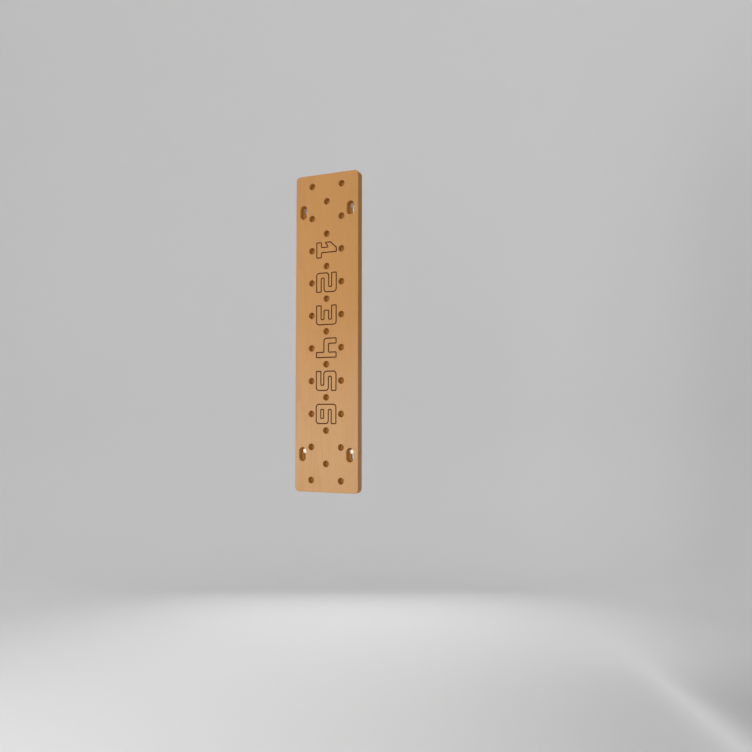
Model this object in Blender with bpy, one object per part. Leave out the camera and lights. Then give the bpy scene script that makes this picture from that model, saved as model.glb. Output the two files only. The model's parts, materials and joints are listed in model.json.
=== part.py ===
"""Climbing pegboard: a thick wooden board with blind peg holes, and four recessed slots whose
bolts, washers and lock nuts clamp it by its flat back.

Metres, +Z up. The origin is the centre of the board's back face. The front, where the pegs
go in, faces -Y. Left and right are as seen from the front.
"""

import math

import bmesh
import bpy
from mathutils import Matrix

# Peg holes: two outer columns, and a centre column half a pitch lower
PEG_PITCH = 0.141
PEG_ROWS = 10
PEG_HOLE_DIAMETER = 0.028
PEG_HOLE_CHAMFER = 0.001
WOOD_BEHIND_PEG_HOLE = 0.012
END_MARGIN = 0.0505

# Board
BOARD_THICKNESS = 0.040
CORNER_RADIUS = 0.020
EDGE_RADIUS = 0.003

# What the bolts are spaced for and clamp: square tube with holes at an even pitch
RACK_PITCH = 0.075
RACK_TUBE = 0.050
PITCHES_BETWEEN_COLUMNS = 3
PITCHES_BETWEEN_BEAMS = 14

# Slots: a cutter path of this length makes both the recess and the narrow slot in its floor
SLOT_TRAVEL = 0.027
SLOT_EDGE_MARGIN = 0.0375
SLOT_PLAY = 0.0015
SLOT_CHAMFER = 0.001
SOCKET_ROOM = 0.0045
LEDGE_THICKNESS = 0.010

# Bolts, washers and lock nuts, to the usual proportions of a 12 mm thread
BOLT_DIAMETER = 0.012
FLAT_OVER_THREAD = 0.003
HEAD_HEIGHT = 0.0075
TIP_CHAMFER = 0.0011
THREAD_SHOWING = 0.0018
WASHER_RIM = 0.006
WASHER_PLAY = 0.001
WASHER_THICKNESS = 0.0025
NUT_HEX_HEIGHT = 0.0085
COLLAR_HEIGHT = 0.0035
COLLAR_WALL = 0.0009
COLLAR_LIP = 0.0007
RING_WALL = 0.0010
RING_HEIGHT = 0.0024
HEX_CHAMFER_ANGLE = math.radians(30)
HEX_END_INSET = 0.0004
NUT_LEAD_IN = 0.001
WASHER_BREAK = 0.0003

# Gap kept where two pieces seat on each other
SEAT_GAP = 0.0003

# Fineness of round stretches
PEG_HOLE_SIDES = 24
SLOT_END_SIDES = 12
FASTENER_SIDES = 30
CORNER_STEPS = 6
EDGE_STEPS = 3

# Sizes that follow
BOARD_WIDTH = PITCHES_BETWEEN_COLUMNS * RACK_PITCH + 2 * SLOT_EDGE_MARGIN
BOARD_HEIGHT = (PEG_ROWS - 1) * PEG_PITCH + 2 * END_MARGIN
FRONT = -BOARD_THICKNESS
OVERSHOOT = 0.002
BOLT_RADIUS = BOLT_DIAMETER / 2
HEX_ACROSS_FLATS = BOLT_DIAMETER + 2 * FLAT_OVER_THREAD
WASHER_DIAMETER = BOLT_DIAMETER + 2 * WASHER_RIM
NUT_HEIGHT = NUT_HEX_HEIGHT + COLLAR_HEIGHT
SLOT_WIDTH = BOLT_DIAMETER + SLOT_PLAY
RECESS_WIDTH = WASHER_DIAMETER + 2 * SOCKET_ROOM

# Places of the fastener stack along Y, from the recess floor to the bolt's tip
HEAD_WASHER_FRONT = -LEDGE_THICKNESS - SEAT_GAP - WASHER_THICKNESS
HEAD_BACK = HEAD_WASHER_FRONT - SEAT_GAP
REAR_WASHER_FRONT = RACK_TUBE + SEAT_GAP
NUT_FRONT = REAR_WASHER_FRONT + WASHER_THICKNESS + SEAT_GAP
BOLT_TIP = NUT_FRONT + NUT_HEIGHT + THREAD_SHOWING

# The board hangs on its bolts, so each bolt lies at the top end of its slot
BOLT_ABOVE_SLOT_CENTRE = SLOT_TRAVEL / 2 + SLOT_PLAY / 2 - SEAT_GAP


def clear_scene():
    for old in list(bpy.data.objects):
        bpy.data.objects.remove(old, do_unlink=True)
    for old in list(bpy.data.collections):
        bpy.data.collections.remove(old)


def finish(name, colour, roughness, metallic=0.0):
    """A plain material of one colour."""
    material = bpy.data.materials.new(name)
    material.use_nodes = True
    shader = material.node_tree.nodes["Principled BSDF"]
    shader.inputs["Base Color"].default_value = (*colour, 1.0)
    shader.inputs["Roughness"].default_value = roughness
    shader.inputs["Metallic"].default_value = metallic
    return material


def circle(radius, sides):
    """Points (x, z) round a circle."""
    angles = [2 * math.pi * step / sides for step in range(sides)]
    return [(radius * math.cos(angle), radius * math.sin(angle)) for angle in angles]


def hexagon(across_flats):
    """Points (x, z) of a hexagon that stands on a corner."""
    corner_radius = across_flats / math.sqrt(3)
    angles = [math.radians(30 + 60 * corner) for corner in range(6)]
    return [(corner_radius * math.cos(angle), corner_radius * math.sin(angle)) for angle in angles]


def slot_outline(width, travel):
    """Points (x, z) of an upright slot: two half circles, a cutter's travel apart."""
    points = []
    for centre_z, first_angle in ((travel / 2, 0.0), (-travel / 2, math.pi)):
        for step in range(SLOT_END_SIDES + 1):
            angle = first_angle + math.pi * step / SLOT_END_SIDES
            points.append((width / 2 * math.cos(angle), centre_z + width / 2 * math.sin(angle)))
    return points


def stacked(name, rings, bored=False):
    """Solid through outlines at places along Y, each ring a (y, points) pair.

    The ends are closed with faces. A bored solid has no ends: its last ring joins its first,
    so the rings run down the outside and back up through the bore.
    """
    shape = bmesh.new()
    loops = [[shape.verts.new((x, y, z)) for x, z in points] for y, points in rings]
    pairs = list(zip(loops, loops[1:]))
    if bored:
        pairs.append((loops[-1], loops[0]))
    for near, far in pairs:
        for index in range(len(near)):
            after = (index + 1) % len(near)
            shape.faces.new((near[index], near[after], far[after], far[index]))
    if not bored:
        shape.faces.new(loops[0])
        shape.faces.new(loops[-1])
    bmesh.ops.recalc_face_normals(shape, faces=shape.faces)
    mesh = bpy.data.meshes.new(name)
    shape.to_mesh(mesh)
    shape.free()
    return mesh


def turned(name, profile, sides=FASTENER_SIDES, bored=False):
    """Solid of revolution about Y; the profile lists (y, radius)."""
    return stacked(name, [(y, circle(radius, sides)) for y, radius in profile], bored)


def add_object(name, mesh, material=None, collection=None):
    piece = bpy.data.objects.new(name, mesh)
    (collection or bpy.context.scene.collection).objects.link(piece)
    if material:
        mesh.materials.clear()
        mesh.materials.append(material)
    return piece


def add_cutter(name, mesh, place=(0, 0, 0), collection=None):
    """A guide for a Boolean, hidden from the finished model."""
    cutter = add_object(name, mesh, collection=collection)
    cutter.location = place
    cutter.hide_render = True
    cutter.display_type = "WIRE"
    return cutter


def combine(target, tool, operation):
    step = target.modifiers.new(tool.name, "BOOLEAN")
    step.operation = operation
    step.solver = "EXACT"
    step.object = tool


def shade_round(mesh):
    mesh.shade_smooth()
    mesh.set_sharp_from_angle(angle=math.radians(40))


def settled_mesh(piece, name):
    """The piece's shape with its modifiers applied, to be shared by its copies."""
    bpy.context.view_layer.update()
    evaluated = piece.evaluated_get(bpy.context.evaluated_depsgraph_get())
    mesh = bpy.data.meshes.new_from_object(evaluated)
    mesh.name = name
    bpy.data.objects.remove(piece, do_unlink=True)
    shade_round(mesh)
    return mesh


def peg_hole_places():
    """Centres (x, z) of the peg holes, each a diagonal step from its neighbours."""
    top = (PEG_ROWS - 1) * PEG_PITCH / 2
    places = []
    for row in range(PEG_ROWS):
        for side in (-1, 1):
            places.append((side * PEG_PITCH / 2, top - row * PEG_PITCH))
    for row in range(PEG_ROWS - 1):
        places.append((0.0, top - (row + 0.5) * PEG_PITCH))
    return places


def slot_places():
    """Name and centre (x, z) of each slot."""
    x = PITCHES_BETWEEN_COLUMNS * RACK_PITCH / 2
    z = PITCHES_BETWEEN_BEAMS * RACK_PITCH / 2
    return {
        "top_left": (-x, z),
        "top_right": (x, z),
        "bottom_left": (-x, -z),
        "bottom_right": (x, -z),
    }


def board_blank():
    """The board before it is drilled: a plank with round corners."""
    shape = bmesh.new()
    half_width = BOARD_WIDTH / 2
    half_height = BOARD_HEIGHT / 2
    corners = ((-1, -1), (1, -1), (1, 1), (-1, 1))
    plank = shape.faces.new(
        [shape.verts.new((across * half_width, 0, up * half_height)) for across, up in corners]
    )
    bmesh.ops.bevel(
        shape,
        geom=list(plank.verts),
        offset=CORNER_RADIUS,
        segments=CORNER_STEPS,
        profile=0.5,
        affect="VERTICES",
    )
    front = bmesh.ops.extrude_face_region(shape, geom=list(shape.faces))
    front_points = [part for part in front["geom"] if isinstance(part, bmesh.types.BMVert)]
    bmesh.ops.translate(shape, vec=(0, FRONT, 0), verts=front_points)
    bmesh.ops.recalc_face_normals(shape, faces=shape.faces)
    mesh = bpy.data.meshes.new("board")
    shape.to_mesh(mesh)
    shape.free()
    return mesh


def peg_hole_cutter_mesh():
    """A flat-bottomed drill with the chamfer that breaks the hole's rim."""
    radius = PEG_HOLE_DIAMETER / 2
    rim = radius + PEG_HOLE_CHAMFER
    profile = (
        (FRONT - OVERSHOOT, rim),
        (FRONT, rim),
        (FRONT + PEG_HOLE_CHAMFER, radius),
        (-WOOD_BEHIND_PEG_HOLE, radius),
    )
    return turned("peg_hole_cutter", profile, PEG_HOLE_SIDES)


def slot_cutter_mesh():
    """The recess for head, washer and socket, stepped down to the narrow slot."""
    rim = slot_outline(RECESS_WIDTH + 2 * SLOT_CHAMFER, SLOT_TRAVEL)
    recess = slot_outline(RECESS_WIDTH, SLOT_TRAVEL)
    narrow = slot_outline(SLOT_WIDTH, SLOT_TRAVEL)
    rings = (
        (FRONT - OVERSHOOT, rim),
        (FRONT, rim),
        (FRONT + SLOT_CHAMFER, recess),
        (-LEDGE_THICKNESS, recess),
        (-LEDGE_THICKNESS, narrow),
        (OVERSHOOT, narrow),
    )
    return stacked("slot_cutter", rings)


def make_board(wood):
    board = add_object("board", board_blank(), wood)
    rounding = board.modifiers.new("rounded_edges", "BEVEL")
    rounding.width = EDGE_RADIUS
    rounding.segments = EDGE_STEPS
    rounding.limit_method = "ANGLE"
    rounding.angle_limit = math.radians(60)
    cutters = bpy.data.collections.new("cutters")
    bpy.context.scene.collection.children.link(cutters)
    drill = peg_hole_cutter_mesh()
    for number, (x, z) in enumerate(peg_hole_places(), start=1):
        add_cutter(f"peg_hole_{number}", drill, (x, 0, z), cutters)
    router = slot_cutter_mesh()
    for corner, (x, z) in slot_places().items():
        add_cutter(f"slot_{corner}", router, (x, 0, z), cutters)
    drilling = board.modifiers.new("drilling", "BOOLEAN")
    drilling.operation = "DIFFERENCE"
    drilling.solver = "EXACT"
    drilling.operand_type = "COLLECTION"
    drilling.collection = cutters
    shade_round(board.data)
    return board


def chamfered_hexagon(name, height, blank_profile):
    """A hexagon bar of the given height, with its corners turned off to the blank's profile."""
    flats = hexagon(HEX_ACROSS_FLATS)
    bar = add_object(name, stacked(name, [(0.0, flats), (height, flats)]))
    blank = add_cutter(f"{name}_blank", turned(f"{name}_blank", blank_profile))
    combine(bar, blank, "INTERSECT")
    return bar, blank


def chamfered_end():
    """The blank's first (y, radius) points: an end face at 0, then a slope past the corners."""
    end_radius = HEX_ACROSS_FLATS / 2 - HEX_END_INSET
    past_corner = HEX_ACROSS_FLATS / math.sqrt(3) + OVERSHOOT
    slope_end = (past_corner - end_radius) * math.tan(HEX_CHAMFER_ANGLE)
    return (0.0, end_radius), (slope_end, past_corner)


def bolt_mesh():
    """Hexagon head at the front and a shank to the tip; Y is 0 under the head."""
    end_face, slope = chamfered_end()
    head_profile = (end_face, slope, (HEAD_HEIGHT + OVERSHOOT, slope[1]))
    head, blank = chamfered_hexagon("bolt_head", HEAD_HEIGHT, head_profile)
    length = BOLT_TIP - HEAD_BACK
    shank_profile = (
        (HEAD_HEIGHT / 2, BOLT_RADIUS),
        (HEAD_HEIGHT + length - TIP_CHAMFER, BOLT_RADIUS),
        (HEAD_HEIGHT + length, BOLT_RADIUS - TIP_CHAMFER),
    )
    shank = add_cutter("bolt_shank", turned("bolt_shank", shank_profile))
    combine(head, shank, "UNION")
    mesh = settled_mesh(head, "bolt")
    for guide in (blank, shank):
        bpy.data.objects.remove(guide, do_unlink=True)
    mesh.transform(Matrix.Translation((0, -HEAD_HEIGHT, 0)))
    return mesh


def washer_mesh():
    """A flat washer with its outer rims broken; Y is 0 at its front."""
    outer = WASHER_DIAMETER / 2
    bore = (BOLT_DIAMETER + WASHER_PLAY) / 2
    profile = (
        (0.0, outer - WASHER_BREAK),
        (WASHER_BREAK, outer),
        (WASHER_THICKNESS - WASHER_BREAK, outer),
        (WASHER_THICKNESS, outer - WASHER_BREAK),
        (WASHER_THICKNESS, bore),
        (0.0, bore),
    )
    return turned("washer", profile, bored=True)


def nut_bore_radius():
    return BOLT_RADIUS + SEAT_GAP


def ring_radius():
    """Outer radius of the locking ring."""
    return nut_bore_radius() + RING_WALL


def nut_mesh():
    """Hexagon with a round collar behind it, whose rolled lip holds the locking ring in."""
    end_face, slope = chamfered_end()
    past_corner = slope[1]
    seat = ring_radius() + SEAT_GAP
    collar = seat + COLLAR_WALL
    collar_run = (past_corner - collar) * math.tan(HEX_CHAMFER_ANGLE)
    blank_profile = (
        end_face,
        slope,
        (NUT_HEX_HEIGHT - collar_run, past_corner),
        (NUT_HEX_HEIGHT, collar),
        (NUT_HEIGHT - 2 * COLLAR_LIP, collar),
        (NUT_HEIGHT - COLLAR_LIP / 2, collar - COLLAR_LIP / 2),
        (NUT_HEIGHT, collar - COLLAR_LIP),
    )
    nut, blank = chamfered_hexagon("lock_nut", NUT_HEIGHT, blank_profile)
    bore = nut_bore_radius()
    bore_profile = (
        (-OVERSHOOT, bore + NUT_LEAD_IN + OVERSHOOT),
        (NUT_LEAD_IN, bore),
        (NUT_HEX_HEIGHT, bore),
        (NUT_HEX_HEIGHT, seat),
        (NUT_HEIGHT - COLLAR_LIP, seat),
        (NUT_HEIGHT - COLLAR_LIP / 2, seat - COLLAR_LIP),
        (NUT_HEIGHT + OVERSHOOT, seat - COLLAR_LIP),
    )
    drill = add_cutter("lock_nut_drill", turned("lock_nut_drill", bore_profile))
    combine(nut, drill, "DIFFERENCE")
    mesh = settled_mesh(nut, "lock_nut")
    for guide in (blank, drill):
        bpy.data.objects.remove(guide, do_unlink=True)
    return mesh


def ring_mesh():
    """The nut's nylon locking ring; Y is 0 at its front."""
    outer = ring_radius()
    bore = nut_bore_radius()
    profile = ((0.0, outer), (RING_HEIGHT, outer), (RING_HEIGHT, bore), (0.0, bore))
    return turned("nylon_ring", profile, bored=True)


def make_fixings(zinc, nylon):
    """One bolt with its washers and lock nut in each slot, under an empty on the bolt's axis."""
    ring_front = NUT_FRONT + NUT_HEX_HEIGHT + SEAT_GAP
    stack = (
        ("bolt", bolt_mesh(), HEAD_BACK, zinc),
        ("head_washer", washer_mesh(), HEAD_WASHER_FRONT, zinc),
        ("rear_washer", washer_mesh(), REAR_WASHER_FRONT, zinc),
        ("lock_nut", nut_mesh(), NUT_FRONT, zinc),
        ("nylon_ring", ring_mesh(), ring_front, nylon),
    )
    for corner, (x, z) in slot_places().items():
        axis = bpy.data.objects.new(f"fixing_{corner}", None)
        axis.location = (x, 0, z + BOLT_ABOVE_SLOT_CENTRE)
        bpy.context.scene.collection.objects.link(axis)
        for piece_name, mesh, front_y, material in stack:
            piece = add_object(f"{piece_name}_{corner}", mesh, material)
            piece.parent = axis
            piece.location = (0, front_y, 0)


def main():
    clear_scene()
    wood = finish("oiled_beech", (0.56, 0.32, 0.13), 0.55)
    zinc = finish("zinc_plated_steel", (0.62, 0.63, 0.65), 0.32, 1.0)
    nylon = finish("nylon", (0.75, 0.76, 0.78), 0.45)
    make_board(wood)
    make_fixings(zinc, nylon)


main()
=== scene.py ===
# %% [markdown]
# # A climbing pegboard, dressed around its packed frame
#
# The real object is one thick plank of pale hardwood, oiled to an even tan. Drills and routers
# made everything on it: blind round holes for a climber's pegs, four deep slots for the bolts,
# and a row of outlined numbers. Bolts, washers and lock nuts clamp it by its flat back.
#
# Almost every edge here was made by one cutter moved along one path. The surfaces below are
# made the same way: a profile, carried along an outline, worked out as whole numpy arrays.
# The frame gives the places and sizes, so each surface lies on the solid that it dresses.
# All lengths are in metres, Z is up, and the front of the board faces towards -Y.

# %% Load the frame
import json
import math

import bmesh
import bpy
import numpy as np
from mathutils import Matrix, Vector
from mathutils.geometry import delaunay_2d_cdt


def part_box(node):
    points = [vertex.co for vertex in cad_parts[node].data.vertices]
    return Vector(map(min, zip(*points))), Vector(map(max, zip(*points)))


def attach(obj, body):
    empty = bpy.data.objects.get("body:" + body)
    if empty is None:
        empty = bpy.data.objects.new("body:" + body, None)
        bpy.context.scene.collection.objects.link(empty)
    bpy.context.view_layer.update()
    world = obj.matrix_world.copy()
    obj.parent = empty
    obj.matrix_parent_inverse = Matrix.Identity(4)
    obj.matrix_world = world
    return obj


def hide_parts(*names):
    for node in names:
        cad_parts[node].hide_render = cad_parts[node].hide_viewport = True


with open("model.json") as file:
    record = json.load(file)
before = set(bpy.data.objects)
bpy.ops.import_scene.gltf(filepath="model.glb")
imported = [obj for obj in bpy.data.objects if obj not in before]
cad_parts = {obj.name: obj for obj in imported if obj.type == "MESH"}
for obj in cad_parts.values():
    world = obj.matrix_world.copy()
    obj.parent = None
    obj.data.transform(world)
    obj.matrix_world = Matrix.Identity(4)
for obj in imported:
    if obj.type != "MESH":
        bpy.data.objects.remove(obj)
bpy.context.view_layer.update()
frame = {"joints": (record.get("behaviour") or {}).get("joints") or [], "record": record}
scene = bpy.context.scene

# %% [markdown]
# ## Camera
#
# The photograph looks up at the board a little, from its right. A Track To constraint could
# point a camera at the board, but the photograph's camera wasn't pointed at it: the board hangs
# left of the middle. So this camera gets facts of its own: where it stands, how far it turns
# left, how far it tilts up, and its lens. They were worked out from straight lines and evenly
# spaced points in the photograph. It keeps level, so it has no roll.

# %% The photograph's camera
CAMERA_PLACE = (1.4966, -2.9462, -0.3573)
CAMERA_TURN = math.radians(23.517)
CAMERA_TILT = math.radians(2.917)
LENS_MM = 36.68
SENSOR_MM = 36.0

camera_data = bpy.data.cameras.new("camera")
camera_data.lens = LENS_MM
camera_data.sensor_width = SENSOR_MM
camera = bpy.data.objects.new("camera", camera_data)
camera.location = CAMERA_PLACE
camera.rotation_euler = (math.pi / 2 + CAMERA_TILT, 0.0, CAMERA_TURN)
scene.collection.objects.link(camera)
scene.camera = camera
print("camera stands", round(camera.location.length, 2), "m from the middle of the board's back")

# %% [markdown]
# ## Places and sizes
#
# The frame knows where the board, the holes and the bolts are, so no place is measured twice.
# The record lists a box in each peg hole, and each bolt's own box gives its axis. A bolt rests
# at the top end of its slot, so the slot's centre lies half of the joint's travel below it.
#
# What the frame doesn't hold, such as the width of a cut or the depth of its floor, is a named
# value.

# %% Places read from the frame
FIXINGS = ("top_left", "top_right", "bottom_left", "bottom_right")


def axis_of(node):
    """The (x, z) of the axis of a round piece that points along Y: the middle of its box."""
    low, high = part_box(node)
    return np.array([(low.x + high.x) / 2, (low.z + high.z) / 2])


board_low, board_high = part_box("board")
FRONT = board_low.y
BACK = board_high.y
HALF_WIDTH = board_high.x
HALF_HEIGHT = board_high.z

openings = frame["record"]["physics"]["openings"]
peg_hole_boxes = [box["box_m"] for box in openings if box["name"].startswith("peg_hole")]
peg_holes = np.mean(peg_hole_boxes, axis=1)[:, [0, 2]]

travel = {joint["child"]: joint["range_m"] for joint in frame["joints"]}
bolt_axes = {fixing: axis_of(f"bolt_{fixing}") for fixing in FIXINGS}
slots = {
    fixing: bolt_axes[fixing] + np.array([0.0, sum(travel[f"fixing_{fixing}"]) / 2])
    for fixing in FIXINGS
}
print(len(peg_holes), "peg holes; slots at", {name: at.round(4).tolist() for name, at in slots.items()})

# %% Sizes of the cuts
CORNER_RADIUS = 0.020
PEG_HOLE_RADIUS = 0.014
PEG_HOLE_FLOOR = -0.012
SLOT_TRAVEL = 0.027
RECESS_WIDTH = 0.033
RECESS_FLOOR = -0.010
NARROW_SLOT_WIDTH = 0.0135
print("wood left behind a peg hole:", round((BACK - PEG_HOLE_FLOOR) * 1000, 1), "mm")
print("a slot's recess is", round((RECESS_WIDTH + SLOT_TRAVEL) * 1000, 1), "mm long")

# %% [markdown]
# ## Outlines
#
# Each cut follows an outline: a circle for a peg hole, an upright slot for a bolt. Bezier curves
# could draw them, but two arrays are simpler to work with: the points, and at each point the
# direction that leads straight out of it. With those, any parallel outline is one addition
# away, and that is all that a chamfer, a fillet or a groove needs.

# %% Circles and slots
PEG_HOLE_SIDES = 56
SLOT_ARC_STEPS = 28


def round_path(radius, sides):
    """A circle: the outward direction at each angle, times the radius."""
    angle = np.linspace(0, 2 * np.pi, sides, endpoint=False)
    outward = np.stack([np.cos(angle), np.sin(angle)], axis=-1)
    return radius * outward, outward


def slot_path(width, distance, steps):
    """An upright slot: a circle cut in half, its halves moved apart along Z."""
    angle = np.linspace(0, np.pi, steps + 1)
    upper = np.stack([np.cos(angle), np.sin(angle)], axis=-1)
    outward = np.concatenate([upper, -upper])
    shift = np.repeat([distance / 2, -distance / 2], steps + 1)
    points = width / 2 * outward + np.stack([0 * shift, shift], axis=-1)
    return points, outward


def moved(path, place):
    """The same outline somewhere else: its points plus a place, its directions unchanged."""
    return path[0] + np.array(place), path[1]


peg_hole_path = round_path(PEG_HOLE_RADIUS, PEG_HOLE_SIDES)
recess_path = slot_path(RECESS_WIDTH, SLOT_TRAVEL, SLOT_ARC_STEPS)
peg_hole_outlines = [moved(peg_hole_path, at) for at in peg_holes]
slot_outlines = [moved(recess_path, at) for at in slots.values()]
print("a peg hole has", len(peg_hole_path[0]), "points round it, a slot", len(recess_path[0]))

# %% [markdown]
# ## Round corners
#
# A turning cutter can't leave a sharp inner corner, and sandpaper takes the outer ones off, so
# every polygon on this board has an arc at each corner. A Bevel modifier rounds corners too, but
# it doesn't tell which way is out. An arc gives both: its centre plus a radius times a
# direction, and the direction itself.

# %% Polygons with round corners
BOARD_ARC_STEPS = 14
BOARD_STEP = 0.03


def rounded_path(corners, radii, arc_steps, longest):
    """A polygon, walked anticlockwise, with an arc in each corner.

    An arc starts where the side before it has one tangent length left, which is the radius
    times the tangent of half the turn. Its centre lies one radius to the side of that point,
    on the inside of the turn. Straight runs get points no further apart than `longest`.
    """
    corners = np.array(corners, float)
    radii = np.broadcast_to(radii, len(corners))[:, None]
    before = corners - np.roll(corners, 1, axis=0)
    before /= np.linalg.norm(before, axis=1, keepdims=True)
    after = np.roll(before, -1, axis=0)
    sine = before[:, 0] * after[:, 1] - before[:, 1] * after[:, 0]
    turn = np.arctan2(sine, (before * after).sum(axis=1))[:, None]
    out = np.stack([before[:, 1], -before[:, 0]], axis=-1)
    centre = corners - before * radii * np.tan(abs(turn) / 2) - out * radii * np.sign(turn)

    # along an arc, the way out of the side before it turns step by step into that of the next
    angle = turn * np.linspace(0, 1, arc_steps + 1)
    along_x = out[:, :1] * np.cos(angle) - out[:, 1:] * np.sin(angle)
    along_z = out[:, :1] * np.sin(angle) + out[:, 1:] * np.cos(angle)
    outward = np.stack([along_x, along_z], axis=-1)
    arcs = centre[:, None] + outward * (radii * np.sign(turn))[:, :, None]

    points, directions = [], []
    for corner in range(len(corners)):
        start = arcs[corner, -1]
        end = arcs[(corner + 1) % len(corners), 0]
        pieces = max(1, math.ceil(np.linalg.norm(end - start) / longest))
        share = np.arange(1, pieces)[:, None] / pieces
        points += [arcs[corner], start + share * (end - start)]
        directions += [outward[corner], np.repeat(outward[corner, -1:], pieces - 1, axis=0)]
    return np.concatenate(points), np.concatenate(directions)


board_corners = [
    (-HALF_WIDTH, -HALF_HEIGHT),
    (HALF_WIDTH, -HALF_HEIGHT),
    (HALF_WIDTH, HALF_HEIGHT),
    (-HALF_WIDTH, HALF_HEIGHT),
]
board_outline = rounded_path(board_corners, CORNER_RADIUS, BOARD_ARC_STEPS, BOARD_STEP)
print("the board's outline has", len(board_outline[0]), "points")

# %% [markdown]
# ## Surfaces from rings
#
# Cutting holes out of a box with Booleans leaves long thin triangles that shade unevenly. Here
# every wall is a grid instead, with one parameter round the outline and one along a profile.
# `lofted` joins each ring of points to the next with quads. `band` makes the rings from a
# profile, of which each row says how far out of the outline to go, and how deep along Y.
#
# Each row may also carry marks: numbers that say how the surface there was made, such as sanded
# or routed. The materials read them, so a colour changes exactly where the cutter did.

# %% Rings joined by quads


def quads_between(rows, count):
    """Corner numbers of quads that join each ring to the next, and each ring's end to its start."""
    index = np.arange(rows * count).reshape(rows, count)
    after = np.roll(index, -1, axis=1)
    return np.stack([index[:-1], after[:-1], after[1:], index[1:]], axis=-1).reshape(-1, 4)


def lofted(rings, depths, marks):
    """A patch of points, quads and marks: rings of (x, z), depths along Y, and a row of marks each."""
    rows, count = rings.shape[:2]
    depths = np.broadcast_to(depths, (rows, count))
    points = np.stack([rings[..., 0], depths, rings[..., 1]], axis=-1)
    return points.reshape(-1, 3), quads_between(rows, count), np.repeat(marks, count, axis=0)


def band(path, profile):
    """A profile carried round an outline: each ring is the outline plus its directions times out."""
    points, outward = path
    rings = points + profile[:, 0, None, None] * outward
    return lofted(rings, profile[:, 1, None], profile[:, 2:])


print("two rings of 8 points take", len(quads_between(2, 8)), "quads")

# %% [markdown]
# ## Flat faces round holes
#
# The front and the back are flat, with outlines cut out of them. An n-gon can't have holes, so
# the face is divided into triangles. Delaunay triangulation avoids slivers as far as the given
# edges allow, and it fills the holes too. What belongs to the wood is then told by counting: a
# triangle with an odd number of outlines around it stays, and one with an even number is air.
# So the wood inside a number's outline, and the eye of the 6, come out right as well.

# %% Flat faces
FLAT_TOLERANCE = 1e-7


def inside(points, outline):
    """Whether each point lies in the outline: a ray to its right crosses it an odd number of times."""
    start, end = outline[None], np.roll(outline, -1, axis=0)[None]
    x, z = points[:, :1], points[:, 1:]
    spans = (start[..., 1] > z) != (end[..., 1] > z)
    rise = np.where(spans, end[..., 1] - start[..., 1], 1.0)
    crossing = start[..., 0] + (z - start[..., 1]) / rise * (end[..., 0] - start[..., 0])
    return (spans & (crossing > x)).sum(axis=1) % 2 == 1


def flat(outlines, y, mark):
    """The flat face at depth y, where an odd number of outlines lie around.

    It is a patch as `lofted` gives it. A triangle is written as a quad with its last corner
    twice, and the weld drops the spare one.
    """
    points = np.concatenate(outlines)
    sizes = [len(outline) for outline in outlines]
    starts = np.repeat(np.cumsum([0] + sizes[:-1]), sizes)
    step = np.concatenate([np.arange(1, size + 1) % size for size in sizes])
    edges = np.stack([np.arange(len(points)), starts + step], axis=-1)
    result = delaunay_2d_cdt(points.tolist(), edges.tolist(), [], 0, FLAT_TOLERANCE)
    source = np.array([olds[0] for olds in result[3]])
    triangles = source[np.array(result[2])]
    middles = points[triangles].mean(axis=1)
    around = sum(inside(middles, outline).astype(int) for outline in outlines)
    kept = triangles[around % 2 == 1]
    places = np.stack([points[:, 0], np.full(len(points), y), points[:, 1]], axis=-1)
    return places, kept[:, [0, 1, 2, 2]], np.tile(mark, (len(points), 1))


plain_face = flat([board_outline[0]], FRONT, (0.0,))
print("the board's face without holes takes", len(plain_face[1]), "triangles")

# %% [markdown]
# ## Welding
#
# Patches that share rim points are welded into one closed skin, so the board is a solid here
# too, and every hole has walls and a floor. Merge by Distance would close the seams as well,
# but numpy finds all equal points in one call and keeps each point's marks beside it.

# %% Weld patches into a mesh
WELD = 1e-6


def welded(name, patches, mark_names):
    """One mesh out of patches of points, quads and marks.

    Points that round to the same place become one. A corner that now equals the next one is
    dropped, so a quad that met a pole becomes a triangle, and one without area vanishes.
    """
    offsets = np.cumsum([0] + [len(patch[0]) for patch in patches])
    points = np.concatenate([patch[0] for patch in patches])
    faces = np.concatenate([patch[1] + offset for patch, offset in zip(patches, offsets)])
    marks = np.concatenate([patch[2] for patch in patches])
    keys = np.round(points / WELD).astype(np.int64)
    _, first, merged = np.unique(keys, axis=0, return_index=True, return_inverse=True)

    corners = merged.ravel()[faces]
    kept = corners != np.roll(corners, -1, axis=1)
    sides = kept.sum(axis=1)
    quads = corners[sides == 4]
    triangles = corners[sides == 3][kept[sides == 3]].reshape(-1, 3)

    mesh = bpy.data.meshes.new(name)
    mesh.from_pydata(points[first], [], quads.tolist() + triangles.tolist())
    for column, mark_name in enumerate(mark_names):
        attribute = mesh.attributes.new(mark_name, "FLOAT", "POINT")
        attribute.data.foreach_set("value", marks[first, column].astype(np.float32))
    return mesh


print("points closer than about", WELD * 1000, "mm become one")

# %% [markdown]
# ## A finished piece
#
# Every surface goes through the same last steps. Its faces are turned outwards, and edges
# sharper than a set angle stay crisp. A Weighted Normal modifier lets the large faces set the
# shading at their rims, so that flats look flat and small roundings look round. Then the piece
# rides on its body, and the solid that it dresses is hidden.

# %% Finish a piece
SHARP_ANGLE = math.radians(32.0)
# a hexagon's chamfer bends by 30 degrees, and stays crisp too
SHARP_ANGLE_OF_FLATS = math.radians(24.0)


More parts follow.
